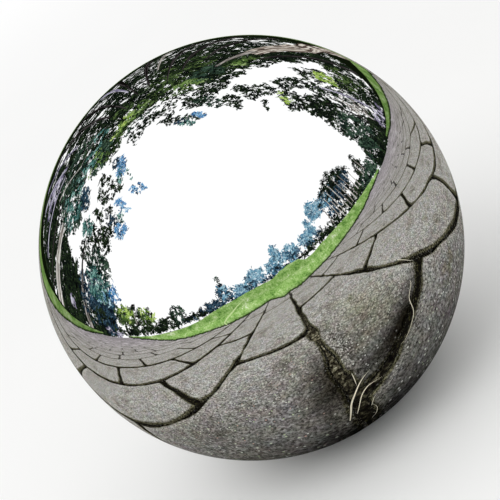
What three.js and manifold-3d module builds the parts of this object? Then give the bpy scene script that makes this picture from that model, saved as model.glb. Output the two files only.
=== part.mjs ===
// Garden sphere: a hollow ball of mirror-polished stainless steel that stands on a small flat foot.
// Two pressed shells are butt-welded at the equator over a backing ring. A turned boss is welded
// into the hole of the lower shell, and a screw plug in the boss closes the ballast chamber.
// Millimetres, +Z up. The origin is the centre of the foot, in the plane that the ball stands on.

import * as THREE from 'three'
import { mergeVertices } from 'three/addons/utils/BufferGeometryUtils.js'
import Module from 'manifold-3d'

const wasm = await Module()
wasm.setup()

// Ball
const ballDiameter = 250
const wallThickness = 1
const footDiameter = 60

// Seam at the equator
const seamFaceWidth = 3
const seamRootWidth = 1
const backingWidth = 12
const backingThickness = 1
const backingClearance = 0.3

// Thread of the filler hole and the plug, metric coarse with 60 degree flanks
const threadDiameter = 24
const threadPitch = 3
const threadCrestFlat = 0.375
const threadRootFlat = 0.75
const threadFlankAngle = Math.PI / 6
const threadClearance = 0.35
const threadChamfer = 1.6

// Filler plug
const headOverhang = 4
const headThickness = 5
const headRecess = 1
const headChamfer = 0.6
const neckUndercut = 0.2
const neckLength = 2.5
const engagedLength = 14
const keyAcrossFlats = 12
const keyDepth = 8
const keyMouthChamfer = 0.6
const drillPointDepth = 2

// Seal under the plug's head
const sealThickness = 1.6
const sealRunningGap = 0.2
const sealInset = 0.5

// Boss in the lower shell
const headClearance = 0.5
const mouthChamfer = 0.8
const socketLength = 18
const hubWall = 7.65
const hubChamfer = 1.5
const baseWeldWidth = 3
const lipOverlap = 4
const lipEdgeThickness = 2.6
const lipClearance = 0.3

// Cuts run past the faces that they open by this much
const overrun = 2

// Facets
const ballSegments = 64
const shellRings = 16
const lipRings = 3
const boreSegments = 32
const keySides = 6

// Sizes that follow from the ones above
const ballRadius = ballDiameter / 2
const innerRadius = ballRadius - wallThickness
const footRadius = footDiameter / 2
const centreHeight = Math.sqrt( ballRadius ** 2 - footRadius ** 2 )
const backingOuter = innerRadius - backingClearance - sagitta( innerRadius, backingWidth )
const crestRadius = threadDiameter / 2
const threadDepth = ( threadPitch - threadCrestFlat - threadRootFlat ) / 2 / Math.tan( threadFlankAngle )
const rootRadius = crestRadius - threadDepth
const headRadius = crestRadius + headOverhang
const neckRadius = rootRadius - neckUndercut
const headTop = headRecess + headThickness
const sealBottom = headTop + sealRunningGap
const counterboreDepth = sealBottom + sealThickness + sealRunningGap
const counterboreRadius = headRadius + headClearance
const plugTop = counterboreDepth + engagedLength
const socketCrest = crestRadius + threadClearance
const socketRoot = rootRadius + threadClearance
const hubTop = counterboreDepth + socketLength
const hubRadius = socketCrest + hubWall
const spigotRadius = footRadius - baseWeldWidth
const rimRadius = footRadius * innerRadius / ballRadius
const rimHeight = centreHeight * wallThickness / ballRadius
const lipRadius = footRadius + lipOverlap
const lipSphere = innerRadius - lipClearance

// How far a circle bulges past a chord of the given length.
function sagitta( radius, chord ) {
	return radius - Math.sqrt( radius ** 2 - ( chord / 2 ) ** 2 )
}

// The radius of a sphere about the ball's centre, at a height above or below that centre.
function radiusAt( sphereRadius, height ) {
	return Math.sqrt( sphereRadius ** 2 - height ** 2 )
}

// The height of the lower half of such a sphere, at a distance from the axis.
function lowerHeightAt( sphereRadius, radius ) {
	return centreHeight - Math.sqrt( sphereRadius ** 2 - radius ** 2 )
}

// Profile points along such a sphere, evenly spaced by angle, both ends included.
function meridian( sphereRadius, start, end, rings ) {
	const angles = [ start, end ].map( ( [ radius, height ] ) => Math.atan2( height - centreHeight, radius ) )
	const points = [ start ]
	for ( let ring = 1; ring < rings; ring ++ ) {
		const angle = angles[ 0 ] + ( angles[ 1 ] - angles[ 0 ] ) * ring / rings
		points.push( [ sphereRadius * Math.cos( angle ), centreHeight + sphereRadius * Math.sin( angle ) ] )
	}
	points.push( end )
	return points
}

// A solid of revolution about Z. The profile of [ radius, height ] points runs anticlockwise.
function turned( profile, segments = ballSegments ) {
	const points = profile.map( ( [ radius, height ] ) => new THREE.Vector2( radius, height ) )
	return new THREE.LatheGeometry( points, segments ).rotateX( Math.PI / 2 )
}

// The same for a ring, whose profile closes on itself.
function turnedRing( profile, segments = ballSegments ) {
	return turned( [ ...profile, profile[ 0 ] ], segments )
}

// A closed geometry as a solid that can be cut and joined.
function solidOf( geometry ) {
	const bare = geometry.clone()
	bare.deleteAttribute( 'normal' )
	bare.deleteAttribute( 'uv' )
	const merged = mergeVertices( bare )
	const corners = merged.index.array
	const faces = []
	for ( let i = 0; i < corners.length; i += 3 ) {
		const [ a, b, c ] = corners.subarray( i, i + 3 )
		if ( a !== b && b !== c && c !== a ) faces.push( a, b, c )
	}
	const vertProperties = new Float32Array( merged.attributes.position.array )
	const triVerts = new Uint32Array( faces )
	return new wasm.Manifold( new wasm.Mesh( { numProp: 3, vertProperties, triVerts } ) )
}

// A cut or joined solid back as a geometry.
function geometryOf( solid ) {
	const mesh = solid.getMesh()
	const geometry = new THREE.BufferGeometry()
	geometry.setAttribute( 'position', new THREE.BufferAttribute( mesh.vertProperties, 3 ) )
	geometry.setIndex( new THREE.BufferAttribute( mesh.triVerts, 1 ) )
	const faceted = geometry.toNonIndexed()
	faceted.computeVertexNormals()
	return faceted
}

// A rod with a right-hand thread along +Z, whole between the two heights. Four helical edges a
// turn bound the crest, the flanks and the root, and each end closes on a point of the axis.
function threadedRod( crest, root, bottom, top ) {
	const flank = ( threadPitch - threadCrestFlat - threadRootFlat ) / 2
	const edges = [
		[ crest, 0 ],
		[ crest, threadCrestFlat ],
		[ root, threadCrestFlat + flank ],
		[ root, threadPitch - flank ]
	]
	const firstTurn = Math.floor( bottom / threadPitch ) - 1
	const rows = edges.length * ( Math.ceil( top / threadPitch ) - firstTurn )
	const positions = []
	for ( let column = 0; column <= boreSegments; column ++ ) {
		const angle = 2 * Math.PI * column / boreSegments
		for ( let row = 0; row <= rows; row ++ ) {
			const [ radius, rise ] = edges[ row % edges.length ]
			const turn = firstTurn + Math.floor( row / edges.length ) + column / boreSegments
			positions.push( radius * Math.cos( angle ), radius * Math.sin( angle ), turn * threadPitch + rise )
		}
	}
	const low = positions.length / 3
	const high = low + 1
	positions.push( 0, 0, firstTurn * threadPitch )
	positions.push( 0, 0, ( firstTurn + rows / edges.length + 1 ) * threadPitch )

	const at = ( column, row ) => column * ( rows + 1 ) + row
	const faces = []
	for ( let column = 0; column < boreSegments; column ++ ) {
		for ( let row = 0; row < rows; row ++ ) {
			const corner = at( column, row )
			const opposite = at( column + 1, row + 1 )
			faces.push( corner, at( column + 1, row ), opposite )
			faces.push( corner, opposite, at( column, row + 1 ) )
		}
		faces.push( low, at( column + 1, 0 ), at( column, 0 ) )
		faces.push( high, at( column, rows ), at( column + 1, rows ) )
	}
	for ( let step = 0; step < edges.length; step ++ ) {
		faces.push( low, at( 0, step ), at( 0, step + 1 ) )
		faces.push( high, at( boreSegments, rows - step ), at( boreSegments, rows - step - 1 ) )
	}
	const geometry = new THREE.BufferGeometry()
	geometry.setAttribute( 'position', new THREE.Float32BufferAttribute( positions, 3 ) )
	geometry.setIndex( faces )
	return geometry
}

// Corners of the bevelled seam groove, on the outer and the inner face of one shell.
function seamCorners( side ) {
	const face = side * seamFaceWidth / 2
	const root = side * seamRootWidth / 2
	return {
		outer: [ radiusAt( ballRadius, face ), centreHeight + face ],
		inner: [ radiusAt( innerRadius, root ), centreHeight + root ]
	}
}

// Materials
function finish( color, metalness, roughness ) {
	return new THREE.MeshStandardMaterial( { color, metalness, roughness } )
}
const mirrorSteel = () => finish( 0xf2f3f3, 1, 0.03 )
const turnedSteel = () => finish( 0xc4c6c8, 1, 0.35 )
const groundWeld = () => finish( 0xb4b3b0, 1, 0.45 )
const blackRubber = () => finish( 0x1d1d1f, 0, 0.8 )

// Upper shell: the pressed upper half, closed at the top.
function upperShell() {
	const { outer, inner } = seamCorners( 1 )
	return turned( [
		...meridian( innerRadius, [ 0, centreHeight + innerRadius ], inner, shellRings ),
		...meridian( ballRadius, outer, [ 0, centreHeight + ballRadius ], shellRings )
	] )
}

// Lower shell: the pressed lower half, with the foot's hole trimmed square to the sheet.
function lowerShell() {
	const { outer, inner } = seamCorners( - 1 )
	return turnedRing( [
		...meridian( ballRadius, [ footRadius, 0 ], outer, shellRings ),
		...meridian( innerRadius, inner, [ rimRadius, rimHeight ], shellRings )
	] )
}

// Seam weld: fills the groove between the shells, flush outside, and bites on the backing ring.
function seamWeld() {
	const lower = seamCorners( - 1 )
	const upper = seamCorners( 1 )
	return turnedRing( [
		[ backingOuter, lower.inner[ 1 ] ],
		lower.inner,
		lower.outer,
		[ ballRadius, centreHeight ],
		upper.outer,
		upper.inner,
		[ backingOuter, upper.inner[ 1 ] ]
	] )
}

// Backing ring: a flat strip rolled to a ring inside the seam.
function seamBackingRing() {
	const bottom = centreHeight - backingWidth / 2
	const top = centreHeight + backingWidth / 2
	return turnedRing( [
		[ backingOuter - backingThickness, bottom ],
		[ backingOuter, bottom ],
		[ backingOuter, top ],
		[ backingOuter - backingThickness, top ]
	] )
}

// Base weld: between the boss's spigot and the shell's rim, ground flush with the foot.
function baseWeld() {
	return turnedRing( [
		[ spigotRadius, 0 ],
		[ footRadius, 0 ],
		[ rimRadius, rimHeight ],
		[ spigotRadius, rimHeight ]
	] )
}

// Base boss: foot face, lip inside the shell, hub, counterbore and threaded filler hole.
function baseBoss() {
	const lipTop = lowerHeightAt( lipSphere, lipRadius ) + lipEdgeThickness
	const lipStart = [ rimRadius, lowerHeightAt( lipSphere, rimRadius ) ]
	const lipEnd = [ lipRadius, lowerHeightAt( lipSphere, lipRadius ) ]
	const blank = turned( [
		[ 0, 0 ],
		[ spigotRadius, 0 ],
		[ spigotRadius, rimHeight ],
		[ rimRadius, rimHeight ],
		...meridian( lipSphere, lipStart, lipEnd, lipRings ),
		[ lipRadius, lipTop ],
		[ hubRadius, lipTop ],
		[ hubRadius, hubTop - hubChamfer ],
		[ hubRadius - hubChamfer, hubTop ],
		[ 0, hubTop ]
	] )
	const counterbore = turned( [
		[ 0, - overrun ],
		[ counterboreRadius + mouthChamfer + overrun, - overrun ],
		[ counterboreRadius, mouthChamfer ],
		[ counterboreRadius, counterboreDepth ],
		[ socketCrest, counterboreDepth ],
		[ socketRoot, counterboreDepth + threadDepth ],
		[ 0, counterboreDepth + threadDepth ]
	], boreSegments )
	const thread = threadedRod( socketCrest, socketRoot, counterboreDepth - overrun, hubTop + overrun )
	const topChamfer = turned( [
		[ 0, hubTop - threadDepth ],
		[ socketRoot, hubTop - threadDepth ],
		[ socketCrest + overrun, hubTop + overrun ],
		[ 0, hubTop + overrun ]
	], boreSegments )
	return geometryOf(
		solidOf( blank )
			.subtract( solidOf( counterbore ) )
			.subtract( solidOf( thread ) )
			.subtract( solidOf( topChamfer ) )
	)
}

// Filler plug: head with a hexagon socket, neck for the seal, and the threaded shank.
function fillerPlug() {
	const threadStart = headTop + neckLength
	const head = turned( [
		[ 0, headRecess ],
		[ headRadius - headChamfer, headRecess ],
		[ headRadius, headRecess + headChamfer ],
		[ headRadius, headTop ],
		[ neckRadius, headTop ],
		[ neckRadius, threadStart + overrun ],
		[ 0, threadStart + overrun ]
	], boreSegments )
	const shankBlank = turned( [
		[ 0, threadStart ],
		[ neckRadius, threadStart ],
		[ crestRadius + overrun, threadStart + crestRadius + overrun - neckRadius ],
		[ crestRadius + overrun, plugTop - threadChamfer - overrun ],
		[ crestRadius - threadChamfer, plugTop ],
		[ 0, plugTop ]
	], boreSegments )
	const thread = threadedRod( crestRadius, rootRadius, threadStart - overrun, plugTop + overrun )
	const keyRadius = keyAcrossFlats / 2 / Math.cos( Math.PI / keySides )
	const keyTop = headRecess + keyDepth
	const keyHeight = keyDepth + overrun
	const key = new THREE.CylinderGeometry( keyRadius, keyRadius, keyHeight, keySides )
		.rotateX( Math.PI / 2 )
		.translate( 0, 0, keyTop - keyHeight / 2 )
	const drillPoint = turned( [
		[ 0, keyTop - overrun ],
		[ keyAcrossFlats / 2, keyTop - overrun ],
		[ keyAcrossFlats / 2, keyTop ],
		[ 0, keyTop + drillPointDepth ]
	], boreSegments )
	const keyMouth = turned( [
		[ 0, headRecess - overrun ],
		[ keyRadius + overrun, headRecess - overrun ],
		[ keyRadius - keyMouthChamfer, headRecess + keyMouthChamfer ],
		[ 0, headRecess + keyMouthChamfer ]
	], boreSegments )
	return geometryOf(
		solidOf( thread )
			.intersect( solidOf( shankBlank ) )
			.add( solidOf( head ) )
			.subtract( solidOf( key ) )
			.subtract( solidOf( drillPoint ) )
			.subtract( solidOf( keyMouth ) )
	)
}

// Plug seal: a flat rubber ring round the neck, between the head and the counterbore's floor.
function plugSeal() {
	const inner = neckRadius + sealRunningGap
	const outer = headRadius - sealInset
	return turnedRing( [
		[ inner, sealBottom ],
		[ outer, sealBottom ],
		[ outer, sealBottom + sealThickness ],
		[ inner, sealBottom + sealThickness ]
	], boreSegments )
}

function piece( name, geometry, material ) {
	const mesh = new THREE.Mesh( geometry, material )
	mesh.name = name
	return mesh
}

// Welded body: everything that stays together
const weldedBody = new THREE.Group()
weldedBody.add( piece( 'upper_shell', upperShell(), mirrorSteel() ) )
weldedBody.add( piece( 'lower_shell', lowerShell(), mirrorSteel() ) )
weldedBody.add( piece( 'seam_weld', seamWeld(), mirrorSteel() ) )
weldedBody.add( piece( 'seam_backing_ring', seamBackingRing(), groundWeld() ) )
weldedBody.add( piece( 'base_boss', baseBoss(), turnedSteel() ) )
weldedBody.add( piece( 'base_weld', baseWeld(), groundWeld() ) )

// Closure: what unscrews from the boss
const closure = new THREE.Group()
closure.add( piece( 'filler_plug', fillerPlug(), turnedSteel() ) )
closure.add( piece( 'plug_seal', plugSeal(), blackRubber() ) )

const group = new THREE.Group()
group.add( weldedBody, closure )

export default group
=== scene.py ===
import bpy
import math
import random
from mathutils import Matrix, Vector, noise


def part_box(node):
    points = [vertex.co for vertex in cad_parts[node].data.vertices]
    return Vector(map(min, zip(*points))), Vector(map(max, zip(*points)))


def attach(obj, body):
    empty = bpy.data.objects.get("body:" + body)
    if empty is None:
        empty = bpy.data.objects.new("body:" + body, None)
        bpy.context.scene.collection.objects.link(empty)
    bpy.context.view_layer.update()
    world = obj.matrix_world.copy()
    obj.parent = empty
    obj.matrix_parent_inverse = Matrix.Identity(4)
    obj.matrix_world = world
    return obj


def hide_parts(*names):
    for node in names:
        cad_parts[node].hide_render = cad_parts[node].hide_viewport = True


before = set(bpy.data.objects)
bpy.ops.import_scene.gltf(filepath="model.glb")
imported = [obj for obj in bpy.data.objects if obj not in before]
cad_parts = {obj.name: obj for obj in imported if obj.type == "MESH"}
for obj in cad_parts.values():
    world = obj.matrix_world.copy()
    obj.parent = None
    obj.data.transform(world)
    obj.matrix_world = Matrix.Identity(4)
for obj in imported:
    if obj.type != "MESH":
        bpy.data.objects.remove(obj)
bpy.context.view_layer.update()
mm = 0.001
print("frame loaded:", ", ".join(sorted(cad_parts)))

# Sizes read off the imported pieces
seamLow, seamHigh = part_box("seam_weld")
plugLow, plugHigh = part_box("filler_plug")
sealLow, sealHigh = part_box("plug_seal")
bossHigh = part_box("base_boss")[1]
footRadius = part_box("base_weld")[1].x
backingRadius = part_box("seam_backing_ring")[1].x
ballRadius = seamHigh.x
centreHeight = (seamLow.z + seamHigh.z) / 2
ballCentre = Vector((0, 0, centreHeight))


def toLinear(hexColour):
    channels = [int(hexColour[i:i + 2], 16) / 255 for i in (1, 3, 5)]
    return [c / 12.92 if c <= 0.04045 else ((c + 0.055) / 1.055) ** 2.4 for c in channels] + [1]


# An input is a value, a socket or a node, whose first output is used. Stops are a ramp's positions
# and colours.
def addNode(tree, kind, settings=None, inputs=None, stops=()):
    made = tree.nodes.new("ShaderNode" + kind)
    for name, value in (settings or {}).items():
        setattr(made, name, value)
    for name, value in (inputs or {}).items():
        if isinstance(value, bpy.types.Node):
            value = next(socket for socket in value.outputs if socket.enabled)
        if isinstance(value, bpy.types.NodeSocket):
            tree.links.new(value, made.inputs[name])
        else:
            made.inputs[name].default_value = value
    if stops:
        elements = made.color_ramp.elements
        while len(elements) < len(stops):
            elements.new(0.5)
        for element, (position, colour) in zip(elements, stops):
            element.position = position
            element.color = toLinear(colour)
    return made


def startMaterial(name):
    material = bpy.data.materials.new(name)
    material.use_nodes = True
    material.node_tree.nodes.clear()
    return material, material.node_tree


# Camera, at the photograph's angle. The picture was taken with the camera leaning over.
cameraSettings = {
    "pitchDown": math.radians(20.5),
    "roll": math.radians(34),
    "distanceInRadii": 6.56,
    "focalPixels": 1381,
    "framePixels": 500,
    "offsetPixels": (1.5, 2.3),  # the ball's centre, to the right of and above the frame's centre
    "sensorWidth": 36,
}
towardsCamera = Vector((0, -math.cos(cameraSettings["pitchDown"]), math.sin(cameraSettings["pitchDown"])))


def makeCamera(settings):
    roll, pixels = settings["roll"], settings["framePixels"]
    right = Vector((1, 0, 0))
    up = towardsCamera.cross(right)
    across = math.cos(roll) * right - math.sin(roll) * up
    upward = math.sin(roll) * right + math.cos(roll) * up
    data = bpy.data.cameras.new("camera")
    data.sensor_width = settings["sensorWidth"]
    data.lens = settings["focalPixels"] * settings["sensorWidth"] / pixels
    data.shift_x, data.shift_y = (-offset / pixels for offset in settings["offsetPixels"])
    camera = bpy.data.objects.new("camera", data)
    bpy.context.scene.collection.objects.link(camera)
    turn = Matrix((across, upward, towardsCamera)).transposed().to_4x4()
    spot = ballCentre + towardsCamera * ballRadius * settings["distanceInRadii"]
    camera.matrix_world = Matrix.Translation(spot) @ turn
    bpy.context.scene.camera = camera


makeCamera(cameraSettings)
print("camera set")


def addMesh(name, vertices, faces, material):
    mesh = bpy.data.meshes.new(name)
    mesh.from_pydata(vertices, [], faces)
    mesh.materials.append(material)
    mesh.shade_smooth()
    piece = bpy.data.objects.new(name, mesh)
    bpy.context.scene.collection.objects.link(piece)
    return piece


# Pieces turned about the Z axis. A row is a (radius, height) pair, or a function of the angle
# that gives one. Rows run anticlockwise round the section, and radius 0 is a point on the axis.
def spin(name, rows, columns, material, closed=False):
    vertices, rings, faces = [], [], []
    for row in rows:
        if not callable(row) and row[0] == 0:
            rings.append([len(vertices)] * columns)
            vertices.append((0, 0, row[1]))
            continue
        rings.append(range(len(vertices), len(vertices) + columns))
        for column in range(columns):
            angle = 2 * math.pi * column / columns
            radius, height = row(angle) if callable(row) else row
            vertices.append((radius * math.cos(angle), radius * math.sin(angle), height))
    follows = rings[1:] + rings[:1] if closed else rings[1:]
    for lower, upper in zip(rings, follows):
        for column in range(columns):
            after = (column + 1) % columns
            corners = [lower[column], lower[after], upper[after], upper[column]]
            faces.append(tuple(dict.fromkeys(corners)))
    return addMesh(name, vertices, faces, material)


# Rounds the corners of an outline. A rounding takes at most legShare of each leg at its corner.
def softened(points, radius, steps=3, closed=False, legShare=0.45):
    rows = [] if closed else [points[0]]
    inner = points if closed else points[1:-1]
    befores = points[-1:] + points[:-1] if closed else points[:-2]
    afters = points[1:] + points[:1] if closed else points[2:]
    for before, corner, after in zip(befores, inner, afters):
        corner = Vector(corner)
        legs = [Vector(point) - corner for point in (before, after)]
        start, end = (corner + leg.normalized() * min(radius, leg.length * legShare) for leg in legs)
        for step in range(steps + 1):
            t = step / steps
            rows.append(tuple(start * (1 - t) ** 2 + corner * 2 * t * (1 - t) + end * t ** 2))
    return rows if closed else rows + [points[-1]]


def meridian(radius, startAngle, endAngle, rings):
    nearlyZero = 1e-9  # a pole has to be a point exactly on the axis
    rows = []
    for ring in range(rings + 1):
        angle = startAngle + (endAngle - startAngle) * ring / rings
        reach = radius * math.cos(angle) if abs(math.cos(angle)) > nearlyZero else 0
        rows.append((reach, centreHeight + radius * math.sin(angle)))
    return rows


def setCreases(piece, degrees):
    mesh = piece.data
    limit = math.cos(math.radians(degrees))
    sides = {}
    for polygon in mesh.polygons:
        for key in polygon.edge_keys:
            sides.setdefault(key, []).append(polygon.normal)
    for edge in mesh.edges:
        normals = sides[edge.key]
        edge.use_edge_sharp = len(normals) == 2 and normals[0].dot(normals[1]) < limit


def place(piece, body, node):
    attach(piece, body)
    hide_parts(node)


# Mirror-polished 304 stainless steel, pressed and buffed: it shows its surroundings sharp and a
# little cool, with only hairlines of the buff left in the finish.
def makeMirrorSteel():
    material, tree = startMaterial("mirrorPolishedStainless")
    stretched = addNode(tree, "Mapping", inputs={
        "Vector": addNode(tree, "TexCoord").outputs["Object"],
        "Scale": (1, 1, 14),  # hairlines run round the ball, as the buff does
    })
    hairlines = addNode(tree, "TexNoise", inputs={
        "Vector": stretched,
        "Scale": 1 / (6 * mm),  # real hairlines are 0.01 mm wide, so they are drawn coarser to show
        "Detail": 3,
    })
    finish = addNode(tree, "MapRange", inputs={
        "Value": hairlines, "From Min": 0.35, "From Max": 0.75, "To Min": 0.004, "To Max": 0.012,
    })
    steel = addNode(tree, "BsdfPrincipled", inputs={
        "Base Color": toLinear("#F2F3F3"), "Metallic": 1, "Roughness": finish,
    })
    addNode(tree, "OutputMaterial", inputs={"Surface": steel})
    return material


# Lathe-turned stainless bar: a grey satin with fine rings of the tool's feed.
def makeTurnedSteel():
    material, tree = startMaterial("turnedStainless")
    where = addNode(tree, "TexCoord").outputs["Object"]
    parts = addNode(tree, "SeparateXYZ", inputs={"Vector": where}).outputs
    flat = addNode(tree, "CombineXYZ", inputs={"X": parts["X"], "Y": parts["Y"]})
    reach = addNode(tree, "VectorMath", {"operation": "LENGTH"}, {0: flat})
    along = addNode(tree, "Math", {"operation": "ADD"}, {0: reach, 1: parts["Z"]})
    phase = addNode(tree, "Math", {"operation": "MULTIPLY"}, {
        0: along,
        1: 2 * math.pi / (0.35 * mm),  # feed of 0.15 mm, drawn at 0.35 mm so that it shows
    })
    rings = addNode(tree, "Math", {"operation": "SINE"}, {0: phase})
    grain = addNode(tree, "TexNoise", inputs={"Vector": where, "Scale": 1 / (3 * mm), "Detail": 4})
    marks = addNode(tree, "Math", {"operation": "MULTIPLY"}, {0: rings, 1: grain})
    steel = addNode(tree, "BsdfPrincipled", inputs={
        "Base Color": addNode(tree, "ValToRGB", inputs={"Fac": grain}, stops=[
            (0.3, "#B9BCBF"), (0.7, "#CDCFD1"),
        ]),
        "Metallic": 1,
        "Roughness": addNode(tree, "MapRange", inputs={"Value": grain, "To Min": 0.24, "To Max": 0.4}),
        "Normal": addNode(tree, "Bump", inputs={
            "Height": marks, "Strength": 0.25, "Distance": 0.02 * mm,
        }),
    })
    addNode(tree, "OutputMaterial", inputs={"Surface": steel})
    return material


# Stainless weld bead, ground back with a flap disc: duller than the sheet, with short scratches
# and a trace of straw heat tint.
def makeGroundWeld():
    material, tree = startMaterial("groundStainlessWeld")
    where = addNode(tree, "TexCoord").outputs["Object"]
    stretched = addNode(tree, "Mapping", inputs={
        "Vector": where, "Rotation": (0, 0, 0.6), "Scale": (1, 9, 1),
    })
    scratches = addNode(tree, "TexNoise", inputs={
        "Vector": stretched,
        "Scale": 1 / (1.5 * mm),  # an 80 grit disc cuts 0.2 mm scratches, drawn coarser to show
        "Detail": 5,
    })
    heat = addNode(tree, "TexNoise", inputs={"Vector": where, "Scale": 1 / (18 * mm), "Detail": 2})
    tint = addNode(tree, "ValToRGB", inputs={"Fac": heat}, stops=[
        (0.35, "#B4B3B0"), (0.6, "#B9AE97"), (0.8, "#8F8A92"),
    ])
    steel = addNode(tree, "BsdfPrincipled", inputs={
        "Base Color": tint,
        "Metallic": 1,
        "Roughness": addNode(tree, "MapRange", inputs={"Value": scratches, "To Min": 0.32, "To Max": 0.58}),
        "Normal": addNode(tree, "Bump", inputs={
            "Height": scratches, "Strength": 0.35, "Distance": 0.05 * mm,
        }),
    })
    addNode(tree, "OutputMaterial", inputs={"Surface": steel})
    return material


# EPDM rubber, moulded: near black, with a dry matt skin and faint mould dust.
def makeSealRubber():
    material, tree = startMaterial("mouldedEpdmRubber")
    where = addNode(tree, "TexCoord").outputs["Object"]
    grain = addNode(tree, "TexNoise", inputs={"Vector": where, "Scale": 1 / (0.8 * mm), "Detail": 4})
    rubber = addNode(tree, "BsdfPrincipled", inputs={
        "Base Color": addNode(tree, "ValToRGB", inputs={"Fac": grain}, stops=[
            (0.4, "#1B1B1D"), (0.8, "#2B2B2D"),
        ]),
        "Roughness": 0.72,
        "IOR": 1.52,
        "Normal": addNode(tree, "Bump", inputs={"Height": grain, "Strength": 0.3, "Distance": 0.04 * mm}),
    })
    addNode(tree, "OutputMaterial", inputs={"Surface": rubber})
    return material


mirrorSteel = makeMirrorSteel()
turnedSteel = makeTurnedSteel()
groundWeld = makeGroundWeld()
sealRubber = makeSealRubber()
print("materials made")

# Ball shells and the seam weld between them
shellSettings = {
    "columns": 256,
    "rings": 72,
    "wall": 1 * mm,
    "seamFace": seamHigh.z - seamLow.z,
    "seamRings": 6,
    "seamRoot": 1 * mm,
    "facetDepth": 0.05 * mm,  # how far a facet's middle may lie inside the sphere
}


def setRadialNormals(piece, innerRadius, depth):
    mesh = piece.data
    normals = []
    for polygon in mesh.polygons:
        reach = (polygon.center - ballCentre).length
        for index in polygon.vertices:
            outward = (mesh.vertices[index].co - ballCentre).normalized()
            if reach > ballRadius - depth:
                normals.append(outward)
            elif reach < innerRadius + depth:
                normals.append(-outward)
            else:
                normals.append(polygon.normal.copy())
    mesh.normals_split_custom_set(normals)


def makeShells(settings):
    rings, columns, halfRoot = settings["rings"], settings["columns"], settings["seamRoot"] / 2
    inner = ballRadius - settings["wall"]
    outerSeam = math.asin(settings["seamFace"] / 2 / ballRadius)
    innerSeam = math.asin(halfRoot / inner)
    footAngle = -math.acos(footRadius / ballRadius)
    top = math.pi / 2
    rootRadius = inner * math.cos(innerSeam)
    upperRows = meridian(inner, top, innerSeam, rings)
    upperRows += meridian(ballRadius, outerSeam, top, rings)
    lowerRows = meridian(ballRadius, footAngle, -outerSeam, rings)
    lowerRows += meridian(inner, -innerSeam, footAngle, rings)
    weldRows = [(backingRadius, centreHeight - halfRoot), (rootRadius, centreHeight - halfRoot)]
    weldRows += meridian(ballRadius, -outerSeam, outerSeam, settings["seamRings"])
    weldRows += [(rootRadius, centreHeight + halfRoot), (backingRadius, centreHeight + halfRoot)]
    upper = spin("upperShell", upperRows, columns, mirrorSteel)
    lower = spin("lowerShell", lowerRows, columns, mirrorSteel, closed=True)
    weld = spin("seamWeld", weldRows, columns, mirrorSteel, closed=True)
    for piece in (upper, lower, weld):
        setRadialNormals(piece, inner, settings["facetDepth"])
    place(upper, "ball", "upper_shell")
    place(lower, "ball", "lower_shell")
    place(weld, "ball", "seam_weld")


makeShells(shellSettings)
print("shells made")

# Fittings under the ball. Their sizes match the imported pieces.
threadSettings = {
    "pitch": 3 * mm,
    "crestFlat": 0.375 * mm,
    "rootFlat": 0.75 * mm,
    "crest": 12 * mm,
    "root": 10.376 * mm,
    "clearance": 0.35 * mm,  # between the plug's thread and the boss's
    "rowsPerTurn": 24,
    "columns": 144,
    "creaseDegrees": 24,
}
plugSettings = {
    "headTop": 6 * mm,
    "headChamfer": 0.6 * mm,
    "neckRadius": 10.176 * mm,
    "threadStart": 8.5 * mm,
    "tipChamfer": 1.6 * mm,
    "keyFlats": 12 * mm,
    "keyTop": 9 * mm,
    "drillPoint": 2 * mm,
    "keyChamfer": 0.6 * mm,
    "edge": 0.25 * mm,  # small rounding that catches the light
}
bossSettings = {
    "counterbore": 16.5 * mm,
    "counterboreDepth": 8 * mm,
    "mouthChamfer": 0.8 * mm,
    "spigot": 27 * mm,
    "lipClearance": 0.3 * mm,
    "lipRings": 4,
    "lipEdge": 2.6 * mm,
    "hub": 20 * mm,
    "hubChamfer": 1.5 * mm,
    "edge": 0.4 * mm,
    "footEdge": 0.1 * mm,
}
sealSettings = {
    "innerGap": 0.2 * mm,  # to the plug's neck
    "edge": 0.3 * mm,
    "creaseDegrees": 40,
}


def threadRadius(height, angle, gap=0):
    pitch, crest, crestFlat = threadSettings["pitch"], threadSettings["crest"], threadSettings["crestFlat"]
    flank = (pitch - crestFlat - threadSettings["rootFlat"]) / 2
    rise = (height / pitch - angle / (2 * math.pi)) % 1 * pitch
    fall = min(max((rise - crestFlat) / flank, 0), 1)
    climb = min(max((rise - pitch + flank) / flank, 0), 1)
    return crest + gap - (crest - threadSettings["root"]) * (fall - climb)


def threadRows(start, end, limit, gap=0, pick=min):
    count = round(abs(end - start) / threadSettings["pitch"] * threadSettings["rowsPerTurn"])
    heights = [start + (end - start) * i / count for i in range(count + 1)]
    return [lambda angle, z=z: (pick(threadRadius(z, angle, gap), limit(z)), z) for z in heights]


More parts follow.
